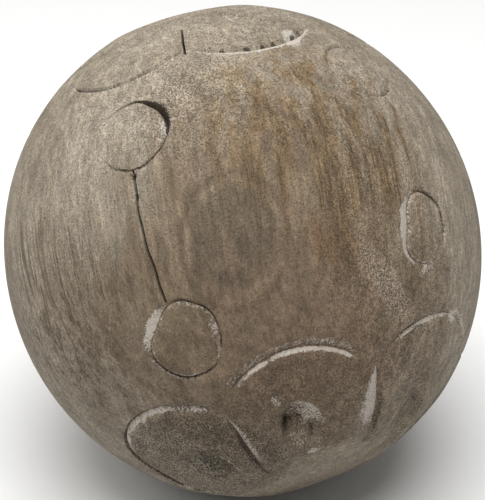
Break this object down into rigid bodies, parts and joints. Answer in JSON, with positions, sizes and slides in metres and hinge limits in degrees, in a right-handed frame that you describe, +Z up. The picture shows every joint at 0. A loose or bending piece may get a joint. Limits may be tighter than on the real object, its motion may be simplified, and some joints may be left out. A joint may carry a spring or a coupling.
{
  "type": "decorative sphere",
  "caption": "Solid wooden ball carved with a rosette of petals at each end and round rings between, resting on a small flat spot.",
  "frame": {"origin": "middle of the small flat spot on the underside that the ball rests on", "axes": "+Z up, away from the flat spot; -Y faces the front, where the bare band between the two rosettes shows"},
  "size_m": [0.1204, 0.1214, 0.1214],
  "materials": {
    "weathered_wood": "matte grey-brown weathered wood with pale residue in the cuts"
  },
  "bodies": {
    "root": {"carved_ball": "weathered_wood"}
  },
  "joints": []
}
